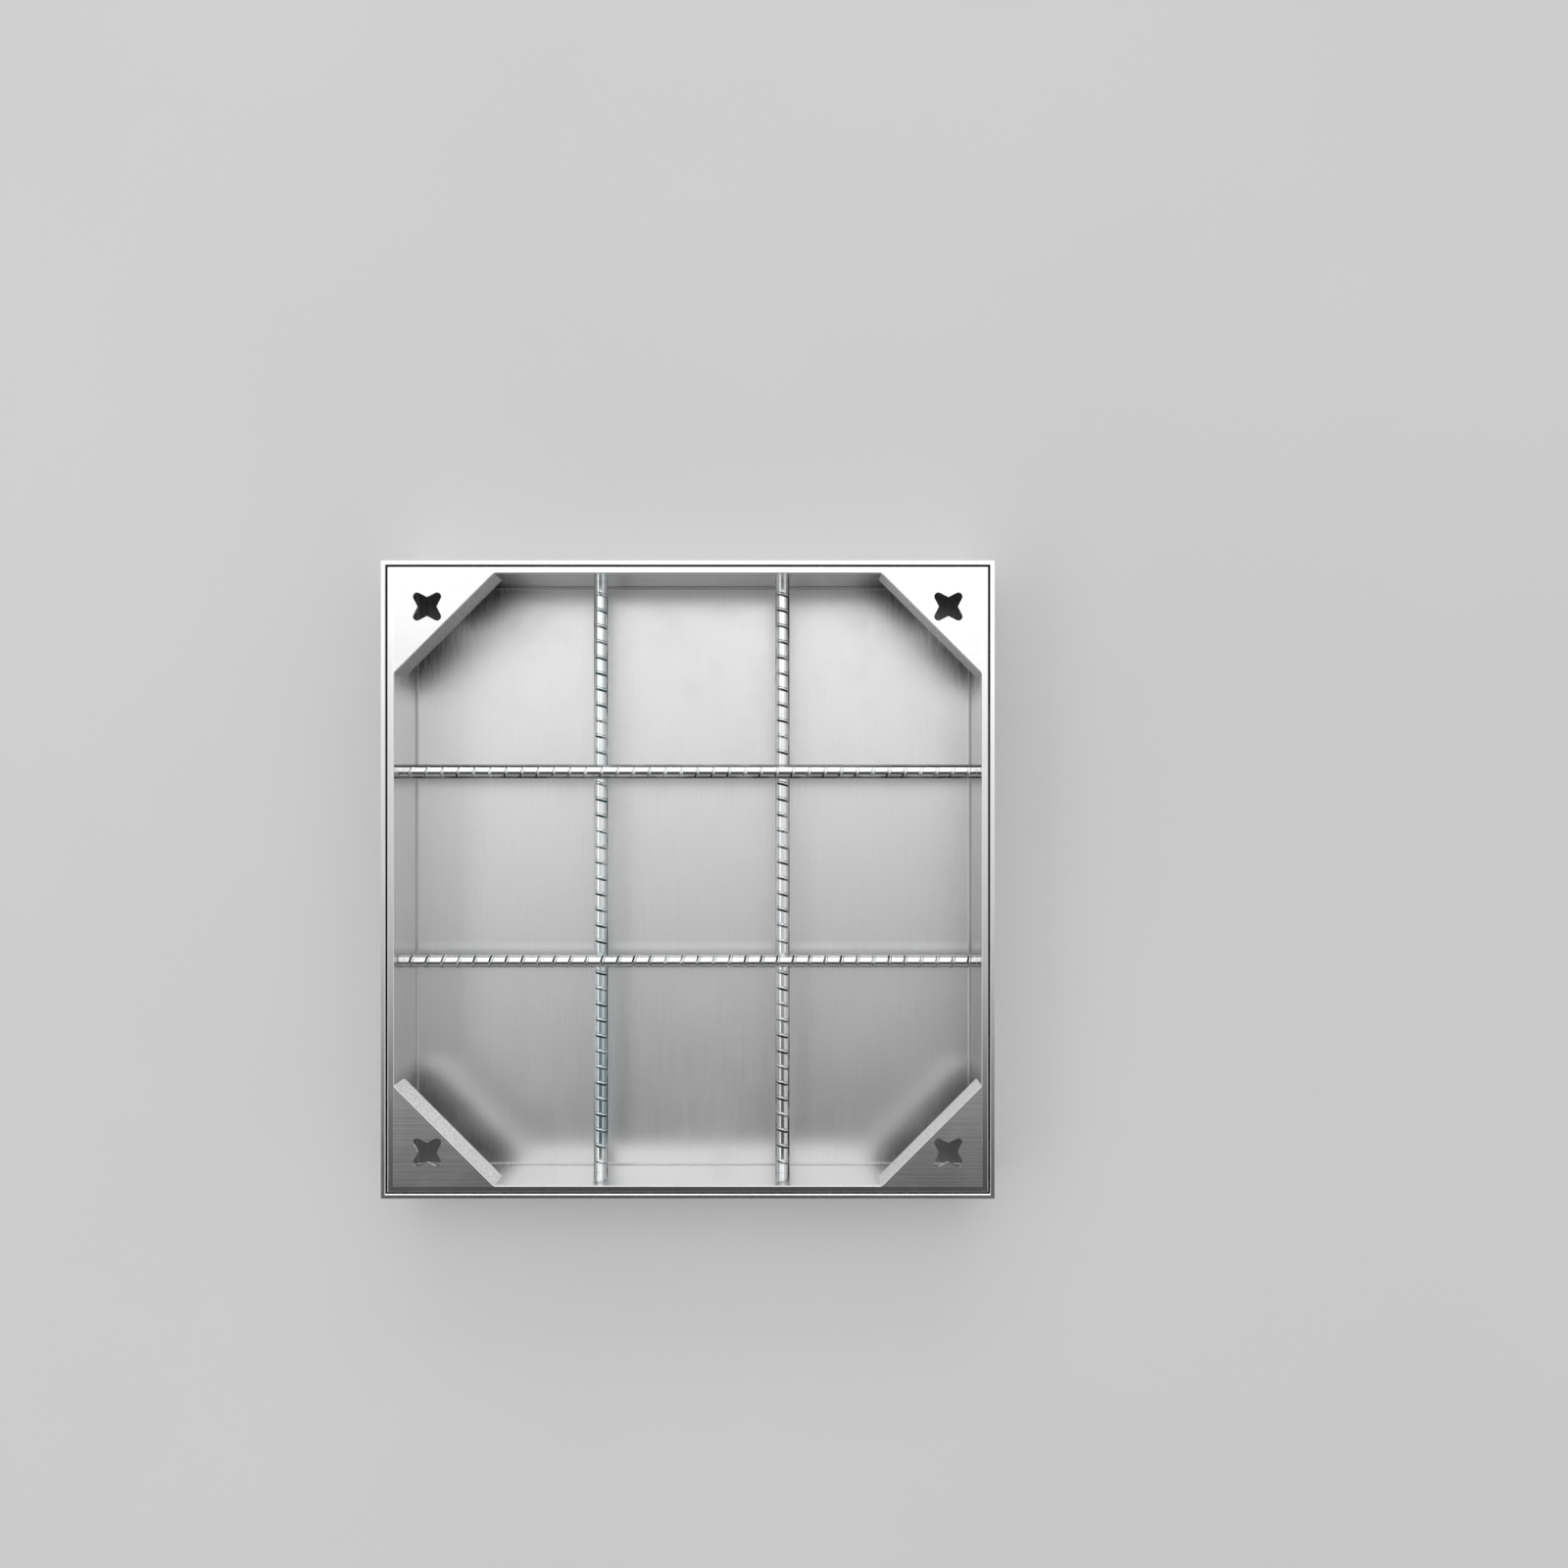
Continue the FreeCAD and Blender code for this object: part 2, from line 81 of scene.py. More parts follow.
# Across a rib: the place, its share of the rib's height, and how much painted shade it gets in a crevice
RIB_PROFILE = (
    (-0.0025, 0.0, 0.0),
    (-0.0020, 0.0, 1.0),
    (-0.0010, 0.12, 1.0),
    (-0.0006, 0.8, 0.8),
    (-0.0002, 1.0, 0.0),
    (0.0002, 1.0, 0.0),
    (0.0005, 0.85, 0.1),
    (0.0010, 0.12, 0.65),
    (0.0013, 0.0, 0.4),
    (0.0017, 0.0, 0.0),
)
# A rib rises from the sides of the bar: the sine of the angle where it starts and where it is full
CREST_RANGE = (0.15, 0.6)
SIDE_RIB_HEIGHT = 0.00085
SIDE_RIB_SPREAD_DEGREES = 8.5
# Each end is plain for a stretch, the slant fades out over the last of it, and a ring keeps its edge sharp
PLAIN_END = 0.006
SLANT_FADE = 0.003
END_RING = 0.0002
# Points round a bar, and what keeps the count of ribs from falling by one where they just fit
AROUND = 48
ROUNDING = 1e-6

# Painted shade beside a side rib: where it starts to fade and where it ends, in degrees from the rib, and
# how strong it is
Grime = namedtuple("Grime", "first last most")
NO_GROOVE_SHADE = Grime(3.0, 10.0, 0.0)
# A bar's roll about its axis, in degrees, its left or back side up, and how far the ribs on that side are
# rubbed down and carry less painted shade; its painted shade on that side and on the other, at its middle
# and towards its ends
Bar = namedtuple("Bar", "roll rubbed grime end_grime")
BARS = {
    "lower_bar_left": Bar(
        roll=14.0,
        rubbed=0.0,
        grime=(NO_GROOVE_SHADE, Grime(12.0, 24.0, 1.0)),
        end_grime=(Grime(3.0, 10.0, 1.0), Grime(12.0, 24.0, 1.0)),
    ),
    "lower_bar_right": Bar(
        roll=0.0,
        rubbed=0.0,
        grime=(Grime(4.0, 9.0, 0.8), Grime(8.0, 18.0, 1.0)),
        end_grime=(Grime(8.0, 17.0, 1.0), Grime(14.0, 30.0, 1.0)),
    ),
    "upper_bar_front": Bar(
        roll=-54.0,
        rubbed=0.15,
        grime=(NO_GROOVE_SHADE, NO_GROOVE_SHADE),
        end_grime=(NO_GROOVE_SHADE, NO_GROOVE_SHADE),
    ),
    "upper_bar_back": Bar(
        roll=12.0,
        rubbed=0.7,
        grime=(Grime(8.0, 16.0, 0.8), Grime(35.0, 85.0, 0.75)),
        end_grime=(Grime(8.0, 16.0, 0.8), Grime(35.0, 85.0, 0.75)),
    ),
}
# How far from the middle the painted shade changes over to that of the ends
END_SHADE_RANGE = (0.13, 0.21)
# Painted shade lies in the upper grooves only, above this sine of the angle
GROOVE_LIMIT = -0.1
# The rubbed side, by the cosine of the angle, and how much of a rib's height goes there
RUBBED_RANGE = (-0.2, 0.4)
RUBBED_HEIGHT = 0.6


# Node helpers

class Nodes:
    """Short names for building a node tree."""

    def __init__(self, tree):
        self.tree = tree
        tree.nodes.clear()

    def add(self, kind, inputs=None, **settings):
        """A new node with settings, its inputs given as values or as other nodes' outputs."""
        made = self.tree.nodes.new(kind)
        for name, setting in settings.items():
            setattr(made, name, setting)
        for name, given in (inputs or {}).items():
            self.put(made.inputs[name], given)
        return made

    def put(self, socket, given):
        """A value or a link for one input."""
        if isinstance(given, bpy.types.NodeSocket):
            self.tree.links.new(given, socket)
        else:
            socket.default_value = given

    def place(self):
        """The point that is shaded, in metres."""
        return self.add("ShaderNodeTexCoord").outputs["Object"]

    def normal(self, kind="Normal"):
        """The direction that the surface faces, smooth, or flat for the kind True Normal."""
        return self.add("ShaderNodeNewGeometry").outputs[kind]

    def attribute(self, name):
        """A number that the mesh holds for each of its points."""
        return self.add("ShaderNodeAttribute", attribute_name=name).outputs["Fac"]

    def split(self, vector):
        """A vector's x, y and z."""
        return tuple(self.add("ShaderNodeSeparateXYZ", {0: vector}).outputs)

    def math(self, operation, first, second=0.0, third=0.0):
        """The outcome of one sum."""
        return self.add("ShaderNodeMath", {0: first, 1: second, 2: third}, operation=operation).outputs[0]

    def unsigned(self, given):
        """A number without its sign."""
        return self.math("ABSOLUTE", given)

    def product(self, first, *others):
        """Numbers multiplied together."""
        result = first
        for factor in others:
            result = self.math("MULTIPLY", result, factor)
        return result

    def remap(self, given, low, high, to_low=0.0, to_high=1.0, smooth=False):
        """A value carried from one range to another, and held inside it."""
        made = self.add("ShaderNodeMapRange", {
            "Value": given, "From Min": low, "From Max": high, "To Min": to_low, "To Max": to_high,
        }, interpolation_type="SMOOTHSTEP" if smooth else "LINEAR")
        return made.outputs["Result"]

    def mix(self, factor, first, second):
        """Two numbers mixed."""
        made = self.add("ShaderNodeMix", {"Factor": factor}, data_type="FLOAT")
        self.put(made.inputs[2], first)
        self.put(made.inputs[3], second)
        return made.outputs[0]

    def blend(self, factor, first, second):
        """Two colours mixed."""
        made = self.add("ShaderNodeMix", {"Factor": factor}, data_type="RGBA")
        self.put(made.inputs[6], first)
        self.put(made.inputs[7], second)
        return made.outputs[2]

    def noise(self, place, grain, detail=2.0, roughness=0.5):
        """A noise of a place; its grain is in cycles a metre, one number or three along x, y and z."""
        scales = grain if isinstance(grain, tuple) else (grain, grain, grain)
        stretched = self.add("ShaderNodeMapping", {"Vector": place, "Scale": scales})
        made = self.add("ShaderNodeTexNoise", {
            "Vector": stretched.outputs[0], "Scale": 1.0, "Detail": detail, "Roughness": roughness,
        })
        return made.outputs["Fac"]

    def bump(self, height, strength, distance, coarser=None):
        """The surface's direction, bumped by a height, over a coarser bump where one is given."""
        inputs = {"Strength": strength, "Distance": distance, "Height": height}
        if coarser is not None:
            inputs["Normal"] = coarser
        return self.add("ShaderNodeBump", inputs).outputs[0]

    def surface(self, tone, rough, normal, metallic=1.0):
        """The material's shader, linked to its output."""
        shader = self.add("ShaderNodeBsdfPrincipled", {
            "Base Color": tone, "Metallic": metallic, "Roughness": rough, "Normal": normal,
        })
        self.add("ShaderNodeOutputMaterial", {"Surface": shader.outputs[0]})
        return shader


def new_material(name):
    """An empty material and its nodes."""
    material = bpy.data.materials.new(name)
    material.use_nodes = True
    return material, Nodes(material.node_tree)


def grey(level, tint=0.0):
    """A near grey, a little blue for a tint above 0."""
    return level * (1 - tint), level, level * (1 + tint), 1.0


# How alike a face's direction and a rounded edge's are where wear starts, and where it is full
WEAR_RANGE = (0.985, 0.80)


def edge_wear(nodes, width):
    """1 along sharp edges and 0 on flat faces."""
    rounded = nodes.add("ShaderNodeBevel", {"Radius": width}, samples=4).outputs[0]
    alike = nodes.add("ShaderNodeVectorMath", {0: rounded, 1: nodes.normal()}, operation="DOT_PRODUCT")
    return nodes.remap(alike.outputs["Value"], *WEAR_RANGE)


# Painted shade, and duller metal, under the corner plates

# On one material: where it starts and is full, inward of a plate's long side, how much farther out it
# starts at the back, and how strong the painted shade is at most
CornerShade = namedtuple("CornerShade", "start full farther dullest")
TRAY_CORNER_SHADE = CornerShade(start=-0.016, full=0.018, farther=0.011, dullest=0.79)
LIP_CORNER_SHADE = CornerShade(start=0.0015, full=0.004, farther=0.0, dullest=1.0)
# It ends at the height of a plate's underside, and is lighter deep in a corner, by x + y
UNDER_RANGE = (PLATE_UNDERSIDE + 0.0004, PLATE_UNDERSIDE + 0.0001)
DEEP_RANGE = (PLATE_LINE + 0.006, PLATE_LINE + 0.022)
# How strong the painted shade is at front and back, everywhere and deep in, and where it changes along Y
CORNER_SHADE_ALONG = (-0.1, 0.1)
CORNER_SHADE_OVERALL = (0.72, 1.0)
CORNER_SHADE_DEEP = (0.45, 0.85)
# How strong the painted shade is amid a plate and towards its ends, and how far away
CORNER_SHADE_SIDEWAYS = (0.84, 1.13)
SIDEWAYS_REACH = 0.07
# The painted shade's fine hairs and its colour, and the dull metal's roughness
HAIR_GRAIN = (620.0, 50.0, 50.0)
HAIR_RANGE = (0.38, 0.62)
HAIR_SHADE = (0.66, 1.12)
CORNER_SHADE_COLOUR = (0.12, 0.115, 0.11, 1.0)
DULL_ROUGHNESS = 0.55


def painted_corner_shade(nodes, place, corners):
    """How far the metal under the corner plates is darkened with painted shade and made duller: 0 is none.
    """
    x, y, z = nodes.split(place)
    across, along = nodes.unsigned(x), nodes.unsigned(y)
    diagonal = nodes.math("ADD", across, along)

    def by_depth(front, back):
        """A number that changes from the front to the back."""
        return nodes.remap(y, *CORNER_SHADE_ALONG, front, back)

    edge = PLATE_LINE + corners.start
    start = by_depth(edge, edge - corners.farther)
    inside = nodes.remap(diagonal, start, PLATE_LINE + corners.full, smooth=True)
    under = nodes.remap(z, *UNDER_RANGE)
    deep = nodes.remap(diagonal, *DEEP_RANGE, 1.0, by_depth(*CORNER_SHADE_DEEP))
    off_middle = nodes.math("ADD", nodes.math("SUBTRACT", across, along), cad_high.y - cad_high.x)
    sideways = nodes.remap(nodes.unsigned(off_middle), 0.0, SIDEWAYS_REACH, *CORNER_SHADE_SIDEWAYS)
    return nodes.product(inside, under, by_depth(*CORNER_SHADE_OVERALL), deep, sideways)


def shaded_and_dulled(nodes, place, corners, tone, rough):
    """A tone darkened with painted shade and a roughness made duller, under the corner plates in fine
    hairs.
    """
    hairs = nodes.noise(place, HAIR_GRAIN, detail=4.0, roughness=0.7)
    streaky = nodes.remap(hairs, *HAIR_RANGE, *HAIR_SHADE)
    shade_share = nodes.product(painted_corner_shade(nodes, place, corners), streaky, corners.dullest)
    return nodes.blend(shade_share, tone, CORNER_SHADE_COLOUR), nodes.mix(shade_share, rough, DULL_ROUGHNESS)


# The tray's walls and rim, and painted shade on its right wall and crease

# The rim's flat top, by height
RIM_RANGE = (cad_high.z - 0.0015, cad_high.z - 0.0008)
RIM_COLOUR = grey(0.9)
RIM_SHARE = 0.25
# The right wall, by how far it faces left, and how dark its painted shade is at its back and front
RIGHT_WALL_RANGE = (-0.5, -0.8)
RIGHT_WALL_SHADE_ALONG = (0.15, -0.2)
RIGHT_WALL_SHADE_LEVELS = (0.14, 0.55)
RIGHT_WALL_SHADE_COLOUR = grey(0.3)
# Painted shade in the crease between floor and walls, by height: where it starts, and where it ends
CREASE_START = (FLOOR_TOP + 0.00002, FLOOR_TOP + 0.0001)
CREASE_END = (FLOOR_TOP + 0.0011, FLOOR_TOP + 0.0006)
CREASE_SHADE_COLOUR = grey(0.12)
CREASE_SHADE_SHARE = 0.36


def steel_rim(nodes, place):
    """1 on the flat top of the tray's rim, which is smoother than the floor."""
    return nodes.remap(nodes.split(place)[2], *RIM_RANGE)


def painted_right_wall_shade(nodes, place, facing_x):
    """How far the tray's right wall is darkened with painted shade: a little at its back end and more
    towards the front.
    """
    shade_along = nodes.remap(nodes.split(place)[1], *RIGHT_WALL_SHADE_ALONG, *RIGHT_WALL_SHADE_LEVELS)
    return nodes.product(nodes.remap(facing_x, *RIGHT_WALL_RANGE), shade_along)


def crease_shade(nodes, place):
    """1 along the crease between the tray's floor and its walls, where shade is painted."""
    height = nodes.split(place)[2]
    return nodes.product(nodes.remap(height, *CREASE_START), nodes.remap(height, *CREASE_END))


def tray_finish(nodes, place, facing_x, upright, smoother, tone, rough):
    """A tone and a roughness with the tray's smoother walls and rim, and painted shade on its right wall
    and crease.
    """
    rim = steel_rim(nodes, place)
    rough = nodes.math("SUBTRACT", rough, nodes.product(nodes.math("MAXIMUM", upright, rim), smoother))
    tone = nodes.blend(nodes.product(rim, RIM_SHARE), tone, RIM_COLOUR)
    # Painted shade on the right wall
    tone = nodes.blend(painted_right_wall_shade(nodes, place, facing_x), tone, RIGHT_WALL_SHADE_COLOUR)
    # Painted shade in the crease
    tone = nodes.blend(nodes.product(crease_shade(nodes, place), CREASE_SHADE_SHARE), tone, CREASE_SHADE_COLOUR)
    return tone, rough


# Brushed steel

# The brushing's grain, in cycles a metre across the strokes and along them, for faces along X, Y and Z
FINE, LONG = 2600.0, 22.0
TRAY_GRAINS = ((LONG, LONG, FINE), (LONG, LONG, FINE), (FINE, LONG, LONG))
PLATE_GRAINS = ((LONG, FINE, LONG),) * 3
GRAINS_ALONG_X = ((LONG, FINE, FINE),) * 3
GRAINS_ALONG_Y = ((FINE, LONG, FINE),) * 3
# The share of the grain that gives the broader strokes
BROAD_SHARE = 0.2
# A face's share along X or Y where it takes that axis's grain, and along Z where it counts as upright
SIDE_RANGE = (0.55, 0.8)
UPRIGHT_RANGE = (0.8, 0.3)
# How much darker, brighter and rougher the strokes are than the steel
STROKE_RANGE = (0.3, 0.7)
STROKE_DARKER, STROKE_BRIGHTER = 0.06, 0.03
STROKE_TINT = 0.004
STROKE_ROUGH_RANGE = (0.25, 0.75)
STROKE_ROUGHER = 0.04
# Their relief, fine and broad: its strength and its height
FINE_RELIEF = (0.2, 0.00003)
BROAD_RELIEF = (0.5, 0.0001)
# Smudges: how far they show, how dark and how tinted they are, and how much rougher
SMUDGE_GRAIN = (38.0, 31.0, 35.0)
SMUDGE_RANGE = (0.45, 0.75)
SMUDGE_MOST, SMUDGE_SHADE, SMUDGE_TINT = 0.08, 0.8, 0.01
SMUDGE_ROUGH_RANGE = (0.5, 0.8)
SMUDGE_ROUGHER = 0.05
# Broad clouds of smoother and rougher steel
CLOUD_GRAIN = 9.0
CLOUD_RANGE = (0.3, 0.7)
CLOUD_ROUGHER = (-0.02, 0.03)
# Dark mottling on upright faces
MOTTLE_GRAIN = (450.0, 450.0, 220.0)
MOTTLE_RANGE = (0.42, 0.62)
MOTTLE_SHADE = 0.45
# Wear along edges: how wide it is, how far it shows, how much brighter it is, and the brightest it gets
STEEL_WEAR_WIDTH = 0.0008
STEEL_WEAR_SHARE = 0.5
STEEL_WEAR_BRIGHTER = 1.2
STEEL_WEAR_BRIGHTEST = 0.95


def brushing(nodes, place, facing, grains):
    """The brushing's fine strokes, which run along each face."""
    strokes = nodes.noise(place, grains[2], detail=3.0, roughness=0.65)
    for axis in (0, 1):
        share = nodes.remap(nodes.unsigned(facing[axis]), *SIDE_RANGE)
        strokes = nodes.mix(share, strokes, nodes.noise(place, grains[axis], detail=3.0, roughness=0.65))
    return strokes


def brushed_tone(nodes, colour, streak, strokes, smudges):
    """The steel's colour with its strokes and smudges."""
    dark = grey(colour * (1 - STROKE_DARKER * streak), STROKE_TINT)
    bright = grey(colour * (1 + STROKE_BRIGHTER * streak))
    tone = nodes.blend(nodes.remap(strokes, *STROKE_RANGE), dark, bright)
    smudged = nodes.remap(smudges, *SMUDGE_RANGE, 0.0, SMUDGE_MOST)
    return nodes.blend(smudged, tone, grey(colour * SMUDGE_SHADE, SMUDGE_TINT))


def mottled(nodes, place, upright, mottling, colour, tone):
    """A tone with dark mottling on upright faces."""
    mottle = nodes.noise(place, MOTTLE_GRAIN, detail=4.0, roughness=0.7)
    share = nodes.product(nodes.remap(mottle, *MOTTLE_RANGE, 0.0, mottling), upright)
    return nodes.blend(share, tone, grey(colour * MOTTLE_SHADE))


def worn(nodes, colour, tone):
    """A tone with brighter wear along edges."""
    wear = nodes.product(edge_wear(nodes, STEEL_WEAR_WIDTH), STEEL_WEAR_SHARE)
    return nodes.blend(wear, tone, grey(min(STEEL_WEAR_BRIGHTEST, colour * STEEL_WEAR_BRIGHTER)))


def brushed_roughness(nodes, place, roughness, streak, strokes, smudges):
    """The steel's roughness, which changes with its strokes, clouds and smudges."""
    clouds = nodes.noise(place, CLOUD_GRAIN, detail=4.0, roughness=0.6)
    reach = STROKE_ROUGHER * streak
    rough = nodes.math("ADD", roughness, nodes.remap(strokes, *STROKE_ROUGH_RANGE, -reach, reach))
    rough = nodes.math("ADD", rough, nodes.remap(clouds, *CLOUD_RANGE, *CLOUD_ROUGHER))
    return nodes.math("ADD", rough, nodes.remap(smudges, *SMUDGE_ROUGH_RANGE, 0.0, SMUDGE_ROUGHER))


def brushed_normal(nodes, place, grain, streak, strokes):
    """The steel's surface, bumped by its fine strokes over broader ones."""
    broad = nodes.noise(place, tuple(scale * BROAD_SHARE for scale in grain), detail=1.0)
    strength, height = BROAD_RELIEF
    coarser = nodes.bump(broad, strength * streak, height)
    strength, height = FINE_RELIEF
    return nodes.bump(strokes, strength * streak, height, coarser)


def brushed_steel(name, colour, roughness, grains, streak=1.0, mottling=0.0, corners=None,
                  wall_roughness=None, spread=0.0):
    """Brushed steel, with grains for faces that look along X, Y and Z, and streak for how strong they are.

    mottling is how strongly upright faces are mottled, corners the painted shade and dull metal under the
    corner plates, wall_roughness the tray's walls' and rim's, and spread how far level faces blur across
    the strokes.
    """
    material, nodes = new_material(name)
    place = nodes.place()
    facing = nodes.split(nodes.normal("True Normal"))
    upright = nodes.remap(nodes.unsigned(facing[2]), *UPRIGHT_RANGE)
    strokes = brushing(nodes, place, facing, grains)
    smudges = nodes.noise(place, SMUDGE_GRAIN, detail=5.0, roughness=0.7)

    tone = brushed_tone(nodes, colour, streak, strokes, smudges)
    if mottling:
        tone = mottled(nodes, place, upright, mottling, colour, tone)
    tone = worn(nodes, colour, tone)
    rough = brushed_roughness(nodes, place, roughness, streak, strokes, smudges)
    if wall_roughness is not None:
        smoother = roughness - wall_roughness
        tone, rough = tray_finish(nodes, place, facing[0], upright, smoother, tone, rough)
    if corners is not None:
        # Painted shade, and duller metal, under the corner plates
        tone, rough = shaded_and_dulled(nodes, place, corners, tone, rough)

    shader = nodes.surface(tone, rough, brushed_normal(nodes, place, grains[2], streak, strokes))
    if spread:
        nodes.put(shader.inputs["Anisotropic"], spread)
        tangent = nodes.add("ShaderNodeTangent", direction_type="RADIAL", axis="Y")
        nodes.put(shader.inputs["Tangent"], tangent.outputs[0])
    return material


# Zinc plate

# Painted shade that grows towards the front of a bar: its colour, where it starts and is full along Y, how
# strong it is, and the bar's side with a painted highlight, -1 for the left and 1 for the right
BarShading = namedtuple("BarShading", "colour start full most clean_side")
# The bar's front end has no painted shade, and nor has a rib's crest
FRONT_SHADE_END_RANGE = (-0.232, -0.218)
OFF_CREST_RANGE = (0.2, 0.7)
# The side with a painted highlight, by how far it faces that way, and how bright and matt it is
SIDE_HIGHLIGHT_RANGE = (0.5, 0.7)
SIDE_HIGHLIGHT_COLOUR = grey(0.95)
SIDE_HIGHLIGHT_ROUGHNESS = 0.45
# Patches of a second tint
PATCH_GRAIN = (70.0, 70.0, 90.0)
PATCH_RANGE = (0.42, 0.62)
# The fine spangle: its colour and how far it shows, its roughness, and its relief's strength and height
SPANGLE_GRAIN = 900.0
SPANGLE_RANGE = (0.35, 0.7)
SPANGLE_COLOUR = grey(0.55)
SPANGLE_MOST = 0.18
SPANGLE_ROUGH_RANGE = (0.3, 0.7)
SPANGLE_SMOOTHER, SPANGLE_ROUGHER = 0.04, 0.07
SPANGLE_RELIEF = (0.3, 0.00005)
# Wear along edges
ZINC_WEAR_WIDTH = 0.0006
ZINC_WEAR_SHARE = 0.35
ZINC_WORN_COLOUR = grey(0.92)
# Painted shade in crevices is uneven: how much of it there is between thin and thick places
CREVICE_SHADE_GRAIN = 55.0
CREVICE_SHADE_RANGE = (0.38, 0.55)
CREVICE_SHADE_LEVELS = (0.45, 1.0)
CREVICE_ROUGHNESS = 0.6


def painted_side_highlight(nodes, side):
    """1 on the side of a bar painted with a highlight and made matt: its left for -1 and its right for 1.
    """
    facing_x = nodes.split(nodes.normal())[0]
    return nodes.remap(nodes.product(facing_x, side), *SIDE_HIGHLIGHT_RANGE)


def painted_front_shade(nodes, place, bar_shading, highlit):
    """How far zinc plate is darkened with painted shade: more towards the front, not on a rib's crest or
    the highlighted side.
    """
    along = nodes.split(place)[1]
    strength = nodes.remap(along, bar_shading.start, bar_shading.full, 0.0, bar_shading.most)
    off_end = nodes.remap(along, *FRONT_SHADE_END_RANGE)
    off_crest = nodes.remap(nodes.attribute("crest"), *OFF_CREST_RANGE, 1.0, 0.0)
    return nodes.product(strength, off_end, off_crest, nodes.math("SUBTRACT", 1.0, highlit))


def crevice_shade_share(nodes, place):
    """How far painted shade covers the zinc, unevenly, in its crevices."""
    uneven = nodes.remap(nodes.noise(place, CREVICE_SHADE_GRAIN, detail=1.0), *CREVICE_SHADE_RANGE, *CREVICE_SHADE_LEVELS)
    return nodes.product(nodes.attribute("crevice_shade"), uneven)


def zinc(name, colour, tint, roughness, crevice_shade_colour, bar_shading=None):
    """Zinc plate or weld metal: a fine spangle, a second tint in patches, worn edges, painted shade in
    crevices.

    On a bar, painted shade towards the front and a painted highlight on one side.
    """
    material, nodes = new_material(name)
    place = nodes.place()
    spangle = nodes.noise(place, SPANGLE_GRAIN, detail=4.0, roughness=0.7)
    patches = nodes.noise(place, PATCH_GRAIN, detail=3.0)
    tone = nodes.blend(nodes.remap(patches, *PATCH_RANGE), colour, tint)
    tone = nodes.blend(nodes.remap(spangle, *SPANGLE_RANGE, 0.0, SPANGLE_MOST), tone, SPANGLE_COLOUR)
    wear = nodes.product(edge_wear(nodes, ZINC_WEAR_WIDTH), ZINC_WEAR_SHARE)
    tone = nodes.blend(wear, tone, ZINC_WORN_COLOUR)
    smoothest, roughest = roughness - SPANGLE_SMOOTHER, roughness + SPANGLE_ROUGHER
    rough = nodes.remap(spangle, *SPANGLE_ROUGH_RANGE, smoothest, roughest)
    if bar_shading is not None:
        # Painted highlight on one side of the bar, and painted shade towards its front
        highlit = painted_side_highlight(nodes, bar_shading.clean_side)
        tone = nodes.blend(painted_front_shade(nodes, place, bar_shading, highlit), tone, bar_shading.colour)
        tone = nodes.blend(highlit, tone, SIDE_HIGHLIGHT_COLOUR)
        rough = nodes.mix(highlit, rough, SIDE_HIGHLIGHT_ROUGHNESS)
    # Painted shade in the crevices
    crevice_shaded = crevice_shade_share(nodes, place)
    tone = nodes.blend(crevice_shaded, tone, crevice_shade_colour)
    rough = nodes.mix(crevice_shaded, rough, CREVICE_ROUGHNESS)
    nodes.surface(tone, rough, nodes.bump(spangle, *SPANGLE_RELIEF))
    return material


# Rubber and the studio's floor

# Black rubber and the pale dust on it, and the skin's relief, its strength and its height
RUBBER_COLOUR, DUST_COLOUR = grey(0.022), grey(0.12)
DUST_GRAIN = 60.0
DUST_RANGE = (0.5, 0.8)
DUST_MOST = 0.3
DUST_ROUGH_RANGE = (0.4, 0.7)
RUBBER_ROUGHNESS = (0.6, 0.8)
SKIN_GRAIN = 2600.0
SKIN_RELIEF = (0.4, 0.0001)
# The floor between its two greys
FLOOR_COLOURS = (grey(0.70), grey(0.73))
FLOOR_CLOUD_GRAIN = 1.6
FLOOR_CLOUD_RANGE = (0.3, 0.7)
FLOOR_GRAIN = 500.0
FLOOR_RELIEF = (0.15, 0.0003)
FLOOR_ROUGHNESS = 0.85


def rubber(name):
    """Black rubber with a fine matt skin and pale dust."""
    material, nodes = new_material(name)
    place = nodes.place()
    skin = nodes.noise(place, SKIN_GRAIN, detail=3.0)
    dust = nodes.noise(place, DUST_GRAIN, detail=5.0, roughness=0.7)
    tone = nodes.blend(nodes.remap(dust, *DUST_RANGE, 0.0, DUST_MOST), RUBBER_COLOUR, DUST_COLOUR)
    rough = nodes.remap(dust, *DUST_ROUGH_RANGE, *RUBBER_ROUGHNESS)
    nodes.surface(tone, rough, nodes.bump(skin, *SKIN_RELIEF), metallic=0.0)
    return material


def studio_floor(name):
    """A pale matt floor."""
    material, nodes = new_material(name)
    place = nodes.place()
    cloud = nodes.noise(place, FLOOR_CLOUD_GRAIN, detail=4.0)
    grain = nodes.noise(place, FLOOR_GRAIN, detail=2.0)
    tone = nodes.blend(nodes.remap(cloud, *FLOOR_CLOUD_RANGE), *FLOOR_COLOURS)
    nodes.surface(tone, FLOOR_ROUGHNESS, nodes.bump(grain, *FLOOR_RELIEF), metallic=0.0)
    return material


# The materials, and the CAD nodes that wear them

